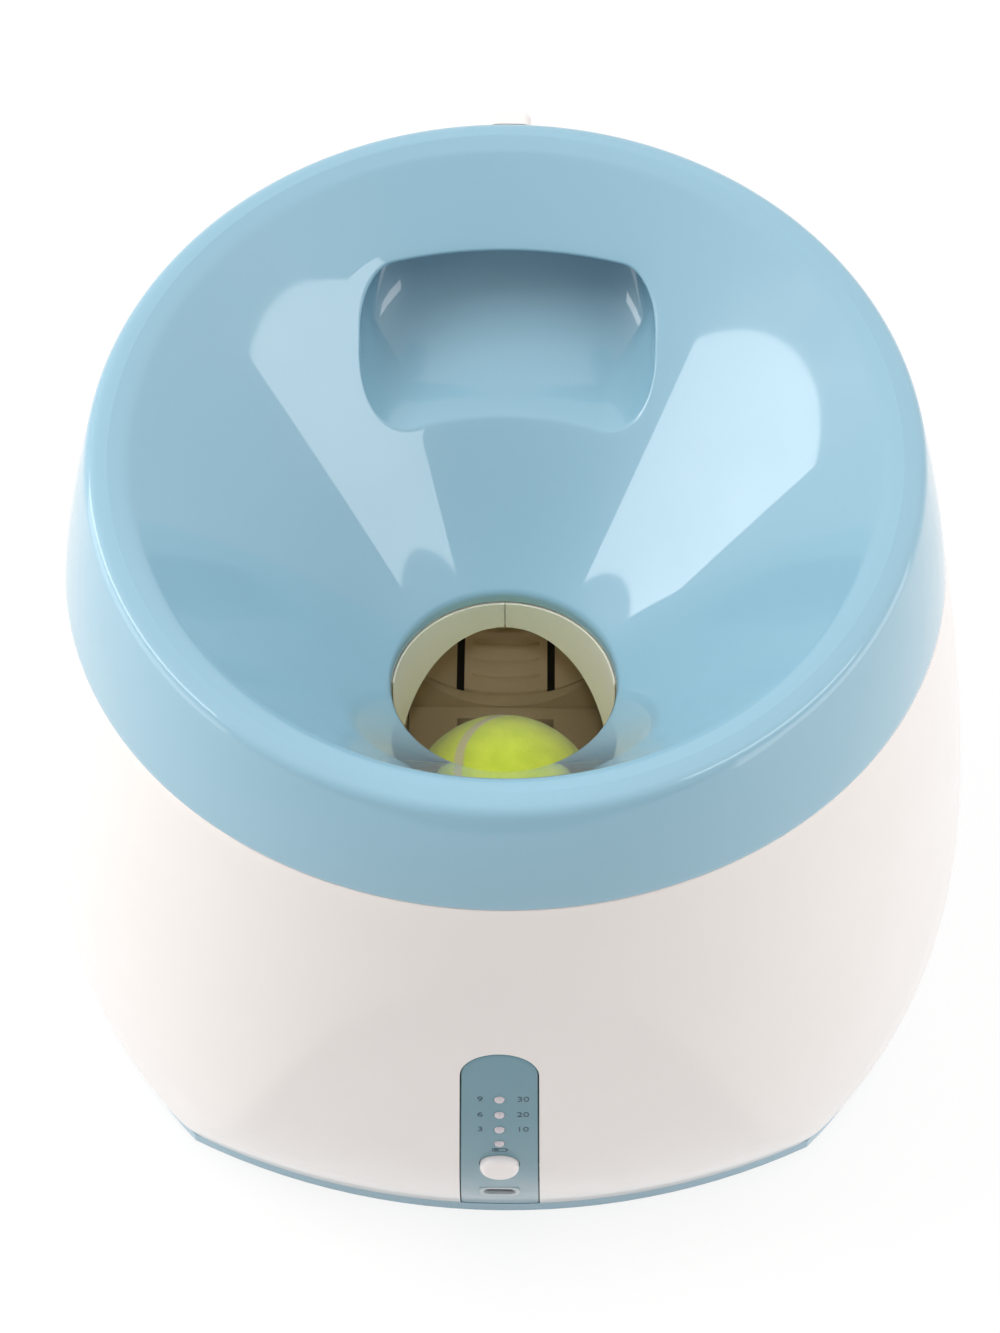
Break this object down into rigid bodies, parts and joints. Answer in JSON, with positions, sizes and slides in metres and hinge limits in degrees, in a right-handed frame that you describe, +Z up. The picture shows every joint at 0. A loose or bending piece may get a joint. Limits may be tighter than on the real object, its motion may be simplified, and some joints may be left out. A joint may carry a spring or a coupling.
{
  "type": "automatic dog ball launcher",
  "caption": "Dome-shaped automatic ball launcher with a funnel top, a handle recess, a front control strip and a rear outlet.",
  "frame": {"origin": "on the floor under the vertical axis of the round body, level with the undersides of the rubber feet", "axes": "+Z up, -Y towards the control strip, +Y towards the ball outlet"},
  "size_m": [0.3146, 0.3092, 0.2656],
  "materials": {
    "sky_blue_plastic": "gloss, fine moulded",
    "white_plastic": "gloss, fine moulded",
    "cream_plastic": "satin moulded",
    "khaki_plastic": "satin moulded",
    "dark_plastic": "satin",
    "button_plastic": "gloss, translucent",
    "light_pipe": "clear, frosted",
    "lens_plastic": "frosted",
    "circuit_board": "solder mask",
    "steel": "bright zinc",
    "motor_steel": "satin",
    "foot_rubber": "matt",
    "tyre_rubber": "matt",
    "cell_wrap": "shrink film",
    "ball_felt": "napped felt"
  },
  "bodies": {
    "housing": {"funnel_cap": "sky_blue_plastic", "outer_body": "white_plastic", "base_plate": "sky_blue_plastic", "control_panel": "sky_blue_plastic", "outlet_bezel": "sky_blue_plastic", "rubber_feet": "foot_rubber", "indicator_lights": "light_pipe", "button_switch": "dark_plastic", "charge_port": "sky_blue_plastic", "charge_socket": "steel", "control_board": "circuit_board", "board_screws": "steel", "sensor_pod": "white_plastic", "sensor_lens": "lens_plastic", "ramp_floor": "khaki_plastic", "tongue_pin": "steel", "lift_gearmotor": "dark_plastic", "gearmotor_bracket": "steel", "battery_cells": "cell_wrap", "battery_tray": "dark_plastic", "battery_strap": "steel", "motor_screws": "steel", "clamp_screws": "steel", "base_screws": "steel", "bracket_screws": "steel", "chamber_screws": "steel", "top_screws": "steel", "chamber_left": "cream_plastic", "chamber_right": "cream_plastic", "launch_barrel": "cream_plastic", "ball_eye_left": "dark_plastic", "ball_eye_right": "dark_plastic", "flywheel_motor_left": "motor_steel", "flywheel_motor_right": "motor_steel", "motor_bracket_left": "dark_plastic", "motor_bracket_right": "dark_plastic"},
    "power_button": {"power_button": "button_plastic", "switch_plunger": "dark_plastic"},
    "feed_tongue": {"feed_tongue": "khaki_plastic"},
    "lift_lever": {"lift_lever": "dark_plastic", "lever_shaft": "steel", "roller_pin": "steel"},
    "lever_roller": {"lever_roller": "dark_plastic"},
    "flywheel_left": {"flywheel_hub_left": "dark_plastic", "flywheel_tyre_left": "tyre_rubber", "motor_shaft_left": "steel"},
    "flywheel_right": {"flywheel_hub_right": "dark_plastic", "flywheel_tyre_right": "tyre_rubber", "motor_shaft_right": "steel"},
    "tennis_ball": {"tennis_ball": "ball_felt"}
  },
  "joints": [
    {"name": "button_press", "type": "slide", "parent": "housing", "child": "power_button", "axis": [0, 1, 0], "range_m": [0, 0.0012], "stiffness_N_per_m": 800, "springref_m": -0.0008},
    {"name": "lever_lift", "type": "hinge", "parent": "housing", "child": "lift_lever", "pos_m": [0, -0.016, 0.06086], "axis": [-1, 0, 0], "range_deg": [0, 25]},
    {"name": "tongue_tilt", "type": "hinge", "parent": "housing", "child": "feed_tongue", "pos_m": [0, 0.019, 0.0726], "axis": [-1, 0, 0], "range_deg": [0, 10]},
    {"name": "roller_spin", "type": "hinge", "parent": "lift_lever", "child": "lever_roller", "pos_m": [0, -0.041, 0.06086], "axis": [1, 0, 0], "continuous": true},
    {"name": "left_wheel_spin", "type": "hinge", "parent": "housing", "child": "flywheel_left", "pos_m": [-0.0605, 0.029, 0.1119], "axis": [0, -0.1736, 0.9848], "continuous": true},
    {"name": "right_wheel_spin", "type": "hinge", "parent": "housing", "child": "flywheel_right", "pos_m": [0.0605, 0.029, 0.1119], "axis": [0, -0.1736, 0.9848], "continuous": true},
    {"name": "ball_lift", "type": "slide", "parent": "feed_tongue", "child": "tennis_ball", "axis": [0, 0, 1], "range_m": [0, 0.2]}
  ],
  "couplings": [
    {"joint": "tongue_tilt", "follows": "lever_lift", "ratio": 0.4},
    {"joint": "right_wheel_spin", "follows": "left_wheel_spin", "ratio": -1}
  ]
}
